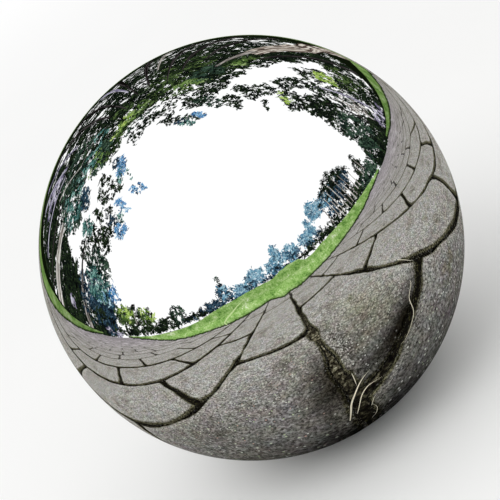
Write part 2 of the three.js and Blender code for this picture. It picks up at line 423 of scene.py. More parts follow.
def makePlug(settings):
    top, face, head = plugHigh.z, plugLow.z, plugHigh.x
    halfFlat, halfSide = settings["keyFlats"] / 2, math.pi / 6
    keyCorner = halfFlat / math.cos(halfSide)
    neck, start, edge = settings["neckRadius"], settings["threadStart"], settings["edge"]
    chamfer, headChamfer = settings["keyChamfer"], settings["headChamfer"]

    def keyRow(height, cone=0):
        def row(angle):
            turn = (angle + halfSide) % (2 * halfSide) - halfSide
            return max(halfFlat / math.cos(turn), cone), height
        return row

    def shank(z):
        return min(neck + z - start, threadSettings["crest"] - settings["tipChamfer"] + top - z)

    rows = [(0, settings["keyTop"] + settings["drillPoint"]), (halfFlat, settings["keyTop"])]
    rows += [keyRow(settings["keyTop"]), keyRow(face + chamfer)]
    rows += [keyRow(face + depth, keyCorner - depth) for depth in (chamfer, chamfer * 2 / 3, chamfer / 3, 0)]
    rows += softened([
        (keyCorner + edge, face),
        (head - headChamfer, face),
        (head, face + headChamfer),
        (head, settings["headTop"]),
        (neck, settings["headTop"]),
        (neck, start),
    ], edge)
    rows += threadRows(start, top, shank) + [(0, top)]
    piece = spin("fillerPlug", rows, threadSettings["columns"], turnedSteel)
    setCreases(piece, threadSettings["creaseDegrees"])
    place(piece, "plug", "filler_plug")


def makeBoss(settings):
    top, lip = bossHigh.z, bossHigh.x
    floor, gap, wall = settings["counterboreDepth"], threadSettings["clearance"], shellSettings["wall"]
    crest, root = threadSettings["crest"] + gap, threadSettings["root"] + gap
    counterbore, mouth = settings["counterbore"], settings["mouthChamfer"]
    spigot, hub, hubChamfer = settings["spigot"], settings["hub"], settings["hubChamfer"]
    rim, rimHeight = footRadius * (1 - wall / ballRadius), centreHeight * wall / ballRadius
    under = ballRadius - wall - settings["lipClearance"]
    lipArc = meridian(under, -math.acos(rim / under), -math.acos(lip / under), settings["lipRings"])
    lipTop = lipArc[-1][1] + settings["lipEdge"]

    def bore(z):
        return max(crest - (z - floor), root + z - (top - (crest - root)))

    rows = softened([
        (counterbore, mouth),
        (counterbore + mouth, 0),
        (spigot, 0),
        (spigot, rimHeight),
        (rim, rimHeight),
    ], settings["footEdge"])
    rows += lipArc
    rows += softened([
        (lip, lipArc[-1][1]),
        (lip, lipTop),
        (hub, lipTop),
        (hub, top - hubChamfer),
        (hub - hubChamfer, top),
        (crest, top),
    ], settings["edge"])[1:]
    rows += threadRows(top, floor, bore, gap, max)
    rows += [(counterbore, floor)]
    piece = spin("baseBoss", rows, threadSettings["columns"], turnedSteel, closed=True)
    setCreases(piece, threadSettings["creaseDegrees"])
    place(piece, "ball", "base_boss")
    return rim, rimHeight


def makeFootWeld(rim, rimHeight):
    spigot = bossSettings["spigot"]
    rows = [(spigot, 0), (footRadius, 0), (rim, rimHeight), (spigot, rimHeight)]
    weld = spin("baseWeld", rows, threadSettings["columns"], groundWeld, closed=True)
    setCreases(weld, threadSettings["creaseDegrees"])
    place(weld, "ball", "base_weld")


def makeSeal(settings):
    inner = plugSettings["neckRadius"] + settings["innerGap"]
    corners = [(inner, sealLow.z), (sealHigh.x, sealLow.z), (sealHigh.x, sealHigh.z), (inner, sealHigh.z)]
    section = softened(corners, settings["edge"], closed=True)
    seal = spin("plugSeal", section, threadSettings["columns"], sealRubber, closed=True)
    setCreases(seal, settings["creaseDegrees"])
    place(seal, "seal", "plug_seal")


makePlug(plugSettings)
makeFootWeld(*makeBoss(bossSettings))
makeSeal(sealSettings)
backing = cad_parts["seam_backing_ring"]  # inside the ball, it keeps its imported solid
backing.data.materials.clear()
backing.data.materials.append(groundWeld)
print("fittings made")


# Ends a material that is clear where the share is 1. Without a share it is clear from behind.
def finishOpen(tree, shader, share=None):
    if share is None:
        share = addNode(tree, "NewGeometry").outputs["Backfacing"]
    clear = addNode(tree, "BsdfTransparent")
    opened = addNode(tree, "MixShader", inputs={0: share, 1: shader, 2: clear})
    addNode(tree, "OutputMaterial", inputs={"Surface": opened})


def addSquare(name, half, height, material):
    corners = [(-half, -half, height), (half, -half, height), (half, half, height), (-half, half, height)]
    return addMesh(name, corners, [(0, 1, 2, 3)], material)


# Studio: a plain pale floor and a white backdrop for the camera, and soft light from above.
studioSettings = {
    "floorSize": 30,
    "floorColours": ("#F3F3F2", "#F5F5F4"),
    "fadeFrom": 0.3,  # the floor turns into the white backdrop between these distances
    "fadeTo": 2.6,
    "fillLight": 0.9,  # how much the backdrop lights matt surfaces; everything that sees it sees 1
    "mirroredSky": 1.15,
    "lampSize": 1.6,
    "lampPlace": (-0.9, -1.5, 2.3),
    "lampPower": 20,
}


def makeBackdrop(settings):
    world = bpy.data.worlds.new("studioBackdrop")
    bpy.context.scene.world = world
    world.use_nodes = True
    tree = world.node_tree
    tree.nodes.clear()
    rays = addNode(tree, "LightPath").outputs
    seen = addNode(tree, "Math", {"operation": "MAXIMUM"}, {
        0: rays["Is Camera Ray"], 1: rays["Is Transmission Ray"],
    })
    plain = addNode(tree, "MapRange", inputs={"Value": seen, "To Min": settings["fillLight"]})
    level = addNode(tree, "Mix", {"data_type": "FLOAT"}, {
        "Factor": rays["Is Glossy Ray"], "A": plain, "B": settings["mirroredSky"],
    })
    sky = addNode(tree, "Background", inputs={"Color": (1, 1, 1, 1), "Strength": level})
    addNode(tree, "OutputWorld", inputs={"Surface": sky})


# Studio paper, a matt white that fades into the backdrop
def makeFloor(settings):
    material, tree = startMaterial("studioFloor")
    where = addNode(tree, "TexCoord").outputs["Object"]
    mottle = addNode(tree, "TexNoise", inputs={"Vector": where, "Scale": 3})
    stops = list(zip((0.3, 0.7), settings["floorColours"]))
    tint = addNode(tree, "ValToRGB", inputs={"Fac": mottle}, stops=stops)
    matt = addNode(tree, "BsdfDiffuse", inputs={"Color": tint})
    fade = addNode(tree, "MapRange", inputs={
        "Value": addNode(tree, "VectorMath", {"operation": "LENGTH"}, {0: where}),
        "From Min": settings["fadeFrom"],
        "From Max": settings["fadeTo"],
    })
    white = addNode(tree, "Emission", inputs={"Color": (1, 1, 1, 1), "Strength": 1})
    finishOpen(tree, addNode(tree, "MixShader", inputs={0: fade, 1: matt, 2: white}))
    floor = addSquare("studioFloor", settings["floorSize"] / 2, 0, material)
    floor.visible_glossy = False  # the ball mirrors the jointed ground instead


def makeLamp(settings):
    data = bpy.data.lights.new("softbox", "AREA")
    data.size = settings["lampSize"]
    data.energy = settings["lampPower"]
    lamp = bpy.data.objects.new("softbox", data)
    bpy.context.scene.collection.objects.link(lamp)
    lamp.location = settings["lampPlace"]
    lamp.rotation_euler = (Vector(settings["lampPlace"]) - ballCentre).to_track_quat("Z", "Y").to_euler()
    lamp.visible_glossy = False


bpy.context.scene.view_settings.view_transform = "Standard"
makeBackdrop(studioSettings)
makeFloor(studioSettings)
makeLamp(studioSettings)
print("studio made")


# What the ball mirrors: a jointed ground, grass beyond it and trees round it. The camera doesn't
# see any of it, and it lights nothing.
def hideFromCamera(*objects):
    for o in objects:
        o.visible_camera = False
        o.visible_diffuse = False
        o.visible_transmission = False
        o.visible_shadow = False


def between(points, at):
    for (a, valueA), (b, valueB) in zip(points, points[1:]):
        if a <= at <= b:
            return valueA + (valueB - valueA) * (at - a) / (b - a)
    return points[0][1] if at < points[0][0] else points[-1][1]


# Slabs in courses that run away from the camera, 400 x 200 mm with joints of about 15 mm. Lengths
# are in ball radii. A long joint is a row of (y, x) points, a cross joint is its y at the left and
# right of its course. Beyond these the courses go on at even steps.
groundSettings = {
    "seed": 7,
    "course": 1.671,
    "slabLength": 3.25,
    "stagger": 1.6,
    "jointWidth": 0.1,
    "wideJoints": {0: 0.085, 1: 0.08, -1: 0.07, -2: 0.135, -3: 0.17, 2: 0.11, 3: 0.1},
    "wideCrossJoints": {0: 0.075, -1: 0.08, 1: 0.085},
    "bedDepth": 0.1,
    "nearCourses": range(-4, 4),  # these have finer outlines
    "outlineStep": 0.16,
    "farOutlineStep": 0.8,
    "wobble": 0.012,
    "waver": 0.055,
    "waverPerRadius": 1.9,
    "waverShift": 50,  # keeps the two directions apart in the noise
    "roundedCorner": 0.045,
    "cornerReach": 0.3,
    "sink": (0.002, 0.014),  # no two slabs lie at the same height
    # depth below the top, inset from the outline and share of dirt, from the bed up and inwards
    # the dirt share also sets the lip's painted highlight and the painted shade on a joint's sides
    "rows": [
        (0.11, -0.02, 1), (0.05, 0, 1), (0.012, 0.015, 0.78), (0, 0.045, 0.45), (0, 0.09, 0.25), (0, 0.2, 0),
    ],
    "ends": (-17, 26),
    "reach": 40,
    "bedReach": 120,
    "openInset": 1 * mm,  # how far inside the foot's edge the ground ends
    "soilInset": 0.6 * mm,  # and how far inside it the soil round that opening stands
    "soilTop": -0.05 * mm,
    "soilColumns": 64,
}
longJoints = {
    -4: [(-8, -6.3), (-5, -6.6), (-3, -6.9), (-1, -7.1), (1, -7.3), (3, -7.6), (8, -8.4)],
    -3: [(-8, -4.2), (-5, -4.45), (-3, -4.8), (-1, -5.2), (0, -5.35), (2, -5.5), (4, -5.8), (8, -6.5)],
    -2: [(-8, -2.85), (-6, -2.95), (-4, -3.05), (-1, -3.25), (1, -3.5), (3, -3.75), (8, -4.3)],
    -1: [(-8, -1.3), (-6, -1.4), (-4, -1.55), (-2, -1.6), (0, -1.65), (2, -1.65), (8, -2.2)],
    0: [(-8, 0.42), (-6, 0.27), (-4, 0.12), (-2, 0.05), (-0.5, 0), (2, -0.05), (8, -0.6)],
    1: [(-8, 2.1), (-6, 1.95), (-4, 1.84), (-2, 1.76), (0, 1.65), (1, 1.5), (3, 1.1), (8, 0.6)],
    2: [(-8, 4), (-6, 3.85), (-4, 3.75), (-2.6, 3.7), (-0.5, 3.4), (0.5, 3.2), (1.2, 2.9), (3, 2.3),
        (8, 1.6)],
    3: [(-8, 6.1), (-4.9, 5.8), (-3, 5.5), (-1.2, 5.25), (0.3, 5), (1.2, 4.75), (2.3, 4.2), (4, 3.6),
        (8, 2.9)],
    4: [(-8, 7.9), (-3.4, 7.4), (-1.2, 7.1), (0.6, 6.8), (2.4, 6.6), (3.2, 6.2), (8, 5)],
}
crossJoints = {
    -5: [(-5.6, -5.6), (-2.6, -2.6), (0.35, 0.4), (3.4, 3.4)],
    -4: [(-4.2, -4.1), (-1.2, -1.15), (2.1, 2.1)],
    -3: [(-5.3, -5.2), (-2.55, -2.5), (0.5, 0.5), (3.6, 3.6)],
    -2: [(-6.9, -6.9), (-3.9, -4.05), (-1.05, -1), (2.4, 2.45)],
    -1: [(-6.3, -6.2), (-2.35, -2.42), (0.7, 0.6), (3.8, 3.8)],
    0: [(-7.1, -7.1), (-4.02, -4.12), (-0.85, -0.95), (2.3, 2.3)],
    1: [(-5.6, -6.1), (-2.6, -2.85), (0.95, 0.72), (4, 4)],
    2: [(-7.5, -7.5), (-4.4, -4.85), (-0.9, -1.1), (2.1, 2.1)],
    3: [(-5.9, -6), (-2.9, -3.15), (0.6, 0.62), (3.3, 3.1)],
    4: [(-4.4, -4.5), (-1.25, -1.35), (2.1, 2.1)],
}


def jointX(k, y):
    nearest = min(max(k, min(longJoints)), max(longJoints))
    return between(longJoints[nearest], y) + (k - nearest) * groundSettings["course"]


def courseJoints(k, settings):
    length, start = settings["slabLength"], settings["stagger"] * (k % 2)
    joints = list(crossJoints.get(k, [(start, start)]))
    while joints[0][0] > settings["ends"][0]:
        joints.insert(0, (joints[0][0] - length, joints[0][1] - length))
    while joints[-1][0] < settings["ends"][1]:
        joints.append((joints[-1][0] + length, joints[-1][1] + length))
    return joints


def slabOutline(k, low, high, settings, rng):
    width, corner = settings["jointWidth"], settings["cornerReach"]
    waver, scale, wobble = settings["waver"], settings["waverPerRadius"], settings["wobble"]
    cross = settings["wideCrossJoints"].get(k, width) / 2
    gaps = [settings["wideJoints"].get(joint, width) / 2 for joint in (k, k + 1)]
    step = settings["outlineStep" if k in settings["nearCourses"] else "farOutlineStep"]
    corners = [(0, low[0] + cross), (1, low[1] + cross), (1, high[1] - cross), (0, high[0] - cross)]
    middle = (low[0] + high[0]) / 2
    outline = []
    for (sideA, yA), (sideB, yB) in zip(corners, corners[1:] + corners[:1]):
        length = settings["course"] if sideA != sideB else abs(yB - yA)
        count = max(2, round(length / step))
        for i in range(count):
            t = i / count
            side, y = sideA + (sideB - sideA) * t, yA + (yB - yA) * t
            left, right = jointX(k, y) + gaps[0], jointX(k + 1, y) - gaps[1]
            x = left + (right - left) * side
            nearSide = max(0, 1 - min(x - left, right - x) / corner)
            nearEnd = max(0, 1 - min(abs(y - corners[0][1]), abs(y - corners[2][1])) / corner)
            pull = settings["roundedCorner"] * nearSide * nearEnd
            shift = waver * noise.noise(Vector((x * scale, y * scale, k)))
            x += pull * (1 if side < 0.5 else -1) + shift
            shift = waver * noise.noise(Vector((x * scale, y * scale, k + settings["waverShift"])))
            y += pull * (1 if y < middle else -1) + shift
            outline.append((x + rng.uniform(-1, 1) * wobble, y + rng.uniform(-1, 1) * wobble))
    return outline


# The share that the foot covers. Nothing is lost there, and from below the foot mirrors the studio.
def underFoot(tree, where):
    away = addNode(tree, "VectorMath", {"operation": "LENGTH"}, {0: where})
    reach = footRadius - groundSettings["openInset"]
    return addNode(tree, "Math", {"operation": "LESS_THAN"}, {0: away, 1: reach})


# Far off, the paving blurs to the sky's lilac
def addHaze(tree, where, colour):
    blur = addNode(tree, "TexNoise", inputs={
        "Vector": where, "Scale": 1 / (250 * mm), "Detail": 7, "Roughness": 0.8,
    })
    tint = addNode(tree, "ValToRGB", inputs={"Fac": blur}, stops=[
        (0.4, "#6B6767"), (0.47, "#9A9496"), (0.53, "#B3ABAF"), (0.6, "#DFD8DD"),
    ])
    haze = addNode(tree, "MapRange", inputs={
        "Value": addNode(tree, "VectorMath", {"operation": "LENGTH"}, {0: where}),
        "From Min": 0.75,
        "From Max": 2.8,
        "To Max": 0.85,
    })
    return addNode(tree, "Mix", {"data_type": "RGBA"}, {"Factor": haze, "A": colour, "B": tint})


# A soft patch of the ground, 1 in its middle and 0 at its edge. Centre and half sizes in ball radii.
def addPatch(tree, where, centre, halfSize):
    local = addNode(tree, "VectorMath", {"operation": "SUBTRACT"}, {
        0: where, 1: Vector((*centre, 0)) * ballRadius,
    })
    scaled = addNode(tree, "VectorMath", {"operation": "DIVIDE"}, {
        0: local, 1: Vector((*halfSize, 1)) * ballRadius,
    })
    reach = addNode(tree, "VectorMath", {"operation": "LENGTH"}, {0: scaled})
    return addNode(tree, "MapRange", inputs={
        "Value": reach, "From Min": 0.15, "From Max": 1, "To Min": 1, "To Max": 0,
    })


# Patches that darken the slabs with stains and painted shade: centre and half sizes in ball radii, and the
# colour they multiply by
stainAndShadePatches = [
    ((0.85, -1.85), (0.75, 1.1), "#E3E2D3"),  # algae between the two joints that meet at the foot
    ((0.7, -1.02), (1.2, 0.3), "#3E3B35"),  # soil and painted shade along the joint to the right of the foot
    ((-0.1, -1.2), (0.22, 0.9), "#77736C"),  # soil and painted shade at the left of the joint towards the camera
    ((0, -0.36), (0.5, 0.42), "#33312E"),  # painted shade at the foot, where the ball shades the ground
]


# Exposed gravel concrete: dry and matt, dark cement with grains of every tone, stained and mossy. Painted
# shade darkens it round the ball's foot and on the joints' sides, and its pale edges and dots carry painted
# highlights.
def makeSlabMaterial():
    material, tree = startMaterial("pavingConcrete")
    where = addNode(tree, "TexCoord").outputs["Object"]
    # size in mm, detail and roughness
    patterns = {"grit": (3, 4, 0.8), "stains": (110, 6, 0.7), "spots": (20, 3, 0.6), "creep": (16, 6, 0.78)}
    noises = {}
    for name, (size, detail, roughness) in patterns.items():
        noises[name] = addNode(tree, "TexNoise", inputs={
            "Vector": where, "Scale": 1 / (size * mm), "Detail": detail, "Roughness": roughness,
        })
    grit = noises["grit"]
    grains = addNode(tree, "TexVoronoi", inputs={"Vector": where, "Scale": 1 / (3.2 * mm)})
    pick = addNode(tree, "SeparateColor", inputs={"Color": grains.outputs["Color"]})
    grainTint = addNode(tree, "ValToRGB", inputs={"Fac": pick.outputs["Red"]}, stops=[
        (0, "#393836"), (0.45, "#807E7B"), (0.74, "#BAB8B3"), (0.86, "#E9E8E3"), (1, "#FFFFFF"),
    ])
    cement = addNode(tree, "ValToRGB", inputs={"Fac": grit}, stops=[
        (0.38, "#2D2C2B"), (0.47, "#85837F"), (0.53, "#BAB7B2"), (0.61, "#FBFAF5"),
    ])
    stainTint = addNode(tree, "ValToRGB", inputs={"Fac": noises["stains"]}, stops=[
        (0.34, "#ABA598"), (0.46, "#F6F3EE"), (0.58, "#FFFFFF"), (0.68, "#C9C6AC"),
    ])
    # painted shade close to the ball's foot, where the ball shades the ground, in metres from its axis
    paintedFootShade = addNode(tree, "MapRange", inputs={
        "Value": addNode(tree, "VectorMath", {"operation": "LENGTH"}, {0: where}),
        "From Min": 0.06,
        "From Max": 0.28,
        "To Min": 0.72,
        "To Max": 0,
    })
    # moss on the corner of the slab, beside the joint that runs towards the camera
    cornerMoss = addNode(tree, "MapRange", inputs={"Value": grit, "From Min": 0.56, "From Max": 0.48})
    mossShare = addNode(tree, "Math", {"operation": "MULTIPLY"}, {
        0: cornerMoss, 1: addPatch(tree, where, (0.2, -1.7), (0.28, 1)),
    })
    # the palest grains are polished, so they stand out as dots, most of all at the slab's near corner; their
    # shine is a painted glint, as the dots glow a little
    dots = addNode(tree, "TexVoronoi", inputs={"Vector": where, "Scale": 1 / (4 * mm)})
    dotPick = addNode(tree, "SeparateColor", inputs={"Color": dots.outputs["Color"]})
    likely = addNode(tree, "Math", {"operation": "MULTIPLY_ADD"}, {
        0: addPatch(tree, where, (0.24, -1.42), (0.3, 0.6)), 1: 0.14, 2: dotPick.outputs["Green"],
    })
    chosen = addNode(tree, "Math", {"operation": "GREATER_THAN"}, {0: likely, 1: 0.82})
    disc = addNode(tree, "MapRange", inputs={
        "Value": dots, "From Min": 0.2, "From Max": 0.34, "To Min": 0.9, "To Max": 0,
    })
    dot = addNode(tree, "Math", {"operation": "MULTIPLY"}, {0: chosen, 1: disc})
    # gravel has pink, white and green stones
    dotTint = addNode(tree, "ValToRGB", inputs={"Fac": dotPick.outputs["Blue"]}, stops=[
        (0.1, "#C99A86"), (0.35, "#F6F3EE"), (0.7, "#F3F4EA"), (0.95, "#A9BC86"),
    ])
    # the slab's edge is worn pale and lightened further by a painted highlight, and soil and moss creep over
    # it from the joint
    edge = addNode(tree, "Attribute", {"attribute_name": "edge"}).outputs["Fac"]
    lip = addNode(tree, "ValToRGB", inputs={"Fac": edge}, stops=[
        (0.1, "#000000"), (0.26, "#BEBEBE"), (0.4, "#BEBEBE"), (0.6, "#000000"),
    ])
    worn = addNode(tree, "MapRange", inputs={"Value": grit, "From Min": 0.47, "From Max": 0.6})
    wornLipAndHighlight = addNode(tree, "Math", {"operation": "MULTIPLY"}, {0: lip, 1: worn})
    reach = addNode(tree, "Math", {"operation": "MULTIPLY_ADD"}, {0: noises["creep"], 1: 1.1, 2: edge})
    dirt = addNode(tree, "MapRange", inputs={"Value": reach, "From Min": 0.94, "From Max": 1.2})
    soil = addNode(tree, "ValToRGB", inputs={"Fac": grit}, stops=[
        (0.42, "#201F18"), (0.51, "#43412F"), (0.58, "#8E8A6E"),
    ])
    # painted shade: the sides of a joint are coloured near black, as they lie in the dark
    paintedJointShade = addNode(tree, "MapRange", inputs={"Value": edge, "From Min": 0.8, "From Max": 0.97})
    side = addNode(tree, "ValToRGB", inputs={"Fac": grit}, stops=[
        (0.45, "#060605"), (0.54, "#14130F"), (0.6, "#38352C"), (0.66, "#96907E"),
    ])
    layers = [
        ("MIX", 0.55, cement),
        ("MULTIPLY", 0.85, stainTint),
        ("OVERLAY", 0.18, noises["spots"].outputs["Color"]),  # dust and lichen, in spots like coins
        # painted shade round the ball's foot
        ("MIX", paintedFootShade, toLinear("#2B2825")),
        ("MIX", mossShare, toLinear("#35322A")),
        ("MIX", dot, dotTint),
        # worn lip with a painted highlight
        ("MIX", wornLipAndHighlight, toLinear("#D8D4C8")),
        ("MIX", dirt, soil),
    ]
    # the patches of stains and of painted shade
    for centre, halfSize, patchTint in stainAndShadePatches:
        layers.append(("MULTIPLY", addPatch(tree, where, centre, halfSize), toLinear(patchTint)))
    colour = grainTint
    for blend, share, over in layers + [("MIX", paintedJointShade, side)]:
        colour = addNode(tree, "Mix", {"data_type": "RGBA", "blend_type": blend}, {
            "Factor": share, "A": colour, "B": over,
        })
    matt = addNode(tree, "BsdfDiffuse", inputs={
        "Color": addHaze(tree, where, colour),
        "Normal": addNode(tree, "Bump", inputs={"Height": grit, "Strength": 0.8, "Distance": 1 * mm}),
    })
    # painted glint: the chosen dots glow a little
    paintedGlintStrength = addNode(tree, "Math", {"operation": "MULTIPLY"}, {0: dot, 1: 0.14})
    paintedGlint = addNode(tree, "Emission", inputs={"Strength": paintedGlintStrength})
    finishOpen(tree, addNode(tree, "AddShader", inputs={0: matt, 1: paintedGlint}), underFoot(tree, where))
    return material


# Soil: dark and crumbly, with moss in the joint that runs towards the camera
def makeSoilMaterial(name, openMiddle=False):
    material, tree = startMaterial(name)
    where = addNode(tree, "TexCoord").outputs["Object"]
    crumbs = addNode(tree, "TexNoise", inputs={
        "Vector": where, "Scale": 1 / (7 * mm), "Detail": 6, "Roughness": 0.75,
    })
    soil = addNode(tree, "ValToRGB", inputs={"Fac": crumbs}, stops=[
        (0.42, "#090807"), (0.54, "#191712"), (0.61, "#35331F"), (0.68, "#67664A"), (0.77, "#B4AF93"),
    ])
    moss = addNode(tree, "ValToRGB", inputs={"Fac": crumbs}, stops=[
        (0.4, "#0C0A08"), (0.48, "#2B271E"), (0.55, "#6A6450"), (0.6, "#9A947A"), (0.68, "#E9E5CF"),
    ])
    mossed = addNode(tree, "Mix", {"data_type": "RGBA"}, {
        "Factor": addPatch(tree, where, (0.1, -2.1), (0.6, 1.7)), "A": soil, "B": moss,
    })
    matt = addNode(tree, "BsdfDiffuse", inputs={"Color": addHaze(tree, where, mossed)})
    finishOpen(tree, matt, underFoot(tree, where) if openMiddle else None)
    return material


def makeGround(settings):
    rng = random.Random(settings["seed"])
    unit, rows = ballRadius, settings["rows"]
    vertices, faces, edges = [], [], []
    lastCourse = math.ceil(settings["reach"] / settings["course"])
    for k in range(-lastCourse, lastCourse):
        joints = courseJoints(k, settings)
        for low, high in zip(joints, joints[1:]):
            outline = slabOutline(k, low, high, settings, rng)
            midX, midY = (sum(values) / len(outline) for values in zip(*outline))
            halfX, halfY = settings["course"] / 2, (high[0] - low[0]) / 2
            sink, first, count = rng.uniform(*settings["sink"]), len(vertices), len(outline)
            for depth, inset, dirt in rows:
                for x, y in outline:
                    x = midX + (x - midX) * (1 - inset / halfX)
                    y = midY + (y - midY) * (1 - inset / halfY)
                    vertices.append((x * unit, y * unit, -(depth + sink) * unit))
                    # the edge share sets the dirt, and also the painted shade on a joint's sides and the lip's
                    # painted highlight
                    edges.append(dirt)
            for level in range(len(rows) - 1):
                for i in range(count):
                    a, b = first + level * count + i, first + level * count + (i + 1) % count
                    faces.append((a, b, b + count, a + count))
            top = first + (len(rows) - 1) * count
            faces.append(tuple(range(top, top + count)))
    slabs = addMesh("mirroredSlabs", vertices, faces, makeSlabMaterial())
    slabs.data.attributes.new("edge", "FLOAT", "POINT").data.foreach_set("value", edges)
    depth = -settings["bedDepth"] * unit
    jointSoil = makeSoilMaterial("jointSoil", openMiddle=True)
    bed = addSquare("mirroredJointBed", settings["bedReach"] * unit, depth, jointSoil)
    # soil round the opening under the foot, so that the opening can't be seen from outside; its dark ring is
    # also painted shade where the foot meets the ground
    inside = footRadius - settings["soilInset"]
    footSoilAndShadeMaterial = makeSoilMaterial("footSoilAndShade")
    rim = [(inside, depth), (inside, settings["soilTop"])]
    hideFromCamera(slabs, bed, spin("mirroredFootSoilAndShade", rim, settings["soilColumns"], footSoilAndShadeMaterial))


makeGround(groundSettings)

# Lawns on both sides of the ground, over the ends of the courses. A row is an azimuth and the
# elevations of the lawn's near and far edges, in degrees seen from the ball. Azimuth 0 is behind
# the ball, 90 to its right and 180 on the camera's side.
lawns = {
    "nearLawn": [
        (97, 0.1, 0.6), (110, -1, 1.2), (120, -2.7, 1.3), (130, -4, 1.1), (140, -5.3, 0.9),
        (150, -6.8, 0.4), (156, -7.4, -0.5), (161, -7.8, -0.5), (164, -8.2, 2), (170, -9, 2.9),
        (175, -8.5, 2.7), (180, -9, 1.5), (187, -6.5, 2.2), (195, -7, 2.6), (210, -7, 2.1),
        (217, -6.3, 1.2), (222, -6, 0.2), (230, -5.5, -0.6), (240, -4.5, -0.7), (250, -2.3, -0.6),
        (260, -0.6, -0.1), (265, 0, 0.2),
    ],
    "beyondLawn": [
        (-79, 0.1, 0.4), (-70, -0.7, 0.4), (-60, -1.8, 0.2), (-50, -2.9, -0.3), (-40, -4.7, -1.2),
        (-30, -6.8, -3.4), (-20, -9, -5.5), (0, -10, -6), (12, -10.8, -8), (20, -11.3, -8.8),
        (25, -8.9, -6.2), (30, -7.4, -4.4), (40, -5, -2.1), (50, -3.4, -1.1), (60, -2, -0.5),
        (68, -0.9, 0.1), (75, 0.1, 0.4),
    ],
}
grassSettings = {
    "seed": 3,
    "far": 130,  # in ball radii, as is the height of the lip above the slabs
    "lip": 0.04,
    "step": 0.5,
    "ragged": 0.2,
    "edgeShade": 0.6,  # degrees of dark in front of the near edge
    "treeShade": 0.2,  # degrees beyond the far edge where the trees' dark starts
    "treeFoot": 0.3,
    "lawnShade": {"nearLawn": 0, "beyondLawn": 0.4},
    "tuftStretch": 1.6,  # tufts are flatter than round from the ball's height
}


# Mown grass: soft, matt and mottled, pale where it catches the sky and dark under the trees
def makeGrassMaterial():
    material, tree = startMaterial("mownGrass")
    # in degrees, as the lawns are
    spot = addNode(tree, "Attribute", {"attribute_name": "spot"}).outputs["Vector"]
    tufts = addNode(tree, "TexNoise", inputs={
        "Vector": spot, "Scale": 1.1, "Detail": 7, "Roughness": 0.78,
    })
    swathes = addNode(tree, "TexNoise", inputs={
        "Vector": spot, "Scale": 0.22, "Detail": 3, "Roughness": 0.6,
    })
    mottle = addNode(tree, "Mix", {"data_type": "FLOAT"}, {"Factor": 0.4, "A": tufts, "B": swathes})
    tint = addNode(tree, "ValToRGB", inputs={"Fac": mottle}, stops=[
        (0.38, "#436E30"), (0.45, "#78A34F"), (0.51, "#97BE6A"), (0.57, "#BAD591"), (0.64, "#F0F6E0"),
    ])
    shade = addNode(tree, "Attribute", {"attribute_name": "shade"}).outputs["Fac"]
    shaded = addNode(tree, "Mix", {"data_type": "RGBA"}, {
        "Factor": shade, "A": tint, "B": toLinear("#10170A"),
    })
    matt = addNode(tree, "BsdfDiffuse", inputs={"Color": shaded})
    addNode(tree, "OutputMaterial", inputs={"Surface": matt})
    return material


def towards(azimuth, elevation):
    a, e = math.radians(azimuth), math.radians(elevation)
    return Vector((math.sin(a) * math.cos(e), math.cos(a) * math.cos(e), math.sin(e)))


# The place that the photograph's camera sees in the ball in this direction
def mirroredPlace(azimuth, elevation, distance, lowest=None):
    ray = towards(azimuth, elevation)
    start = ballCentre + (ray + towardsCamera).normalized() * ballRadius
    if lowest is not None and start.z + ray.z * distance < lowest:
        distance = (start.z - lowest) / -ray.z
    return start + ray * distance


def makeGrass(settings):
    rng = random.Random(settings["seed"])
    grass = makeGrassMaterial()
    distance, lip = settings["far"] * ballRadius, settings["lip"] * ballRadius
    step, ragged, treeShade = settings["step"], settings["ragged"], settings["treeShade"]
    for name, edges in lawns.items():
        base = settings["lawnShade"][name]
        # share of the way from the near edge to the far one, degrees past it, and shade
        rows = [(0, -settings["edgeShade"], 1), (0, 0, 0.85), (0.05, 0, base + 0.2)]
        rows += [(share, 0, base) for share in (0.2, 0.6, 1)]
        nearEdge, farEdge = ([(row[0], row[side]) for row in edges] for side in (1, 2))
        vertices, faces, shades, spots = [], [], [], []
        count = round((edges[-1][0] - edges[0][0]) / step)
        for i in range(count + 1):
            azimuth = edges[0][0] + i * step
            near = between(nearEdge, azimuth) + rng.uniform(-1, 1) * ragged
            far = between(farEdge, azimuth) + rng.uniform(-0.5, 0.5) * ragged
            heights = [(near + (far - near) * share + past, shade) for share, past, shade in rows]
            if base:
                heights += [(far + treeShade, 1), (max(far + 2 * treeShade, settings["treeFoot"]), 1)]
            for elevation, shade in heights:
                vertices.append(mirroredPlace(azimuth, elevation, distance, lip))
                shades.append(shade)
                spots += [azimuth, elevation * settings["tuftStretch"], 0]
        levels = len(heights)
        for i in range(count):
            for a in range(i * levels, (i + 1) * levels - 1):
                faces.append((a, a + levels, a + levels + 1, a + 1))
        lawn = addMesh(name, vertices, faces, grass)
        lawn.data.attributes.new("shade", "FLOAT", "POINT").data.foreach_set("value", shades)
        lawn.data.attributes.new("spot", "FLOAT_VECTOR", "POINT").data.foreach_set("vector", spots)
        hideFromCamera(lawn)


makeGrass(grassSettings)
print("mirrored ground made")

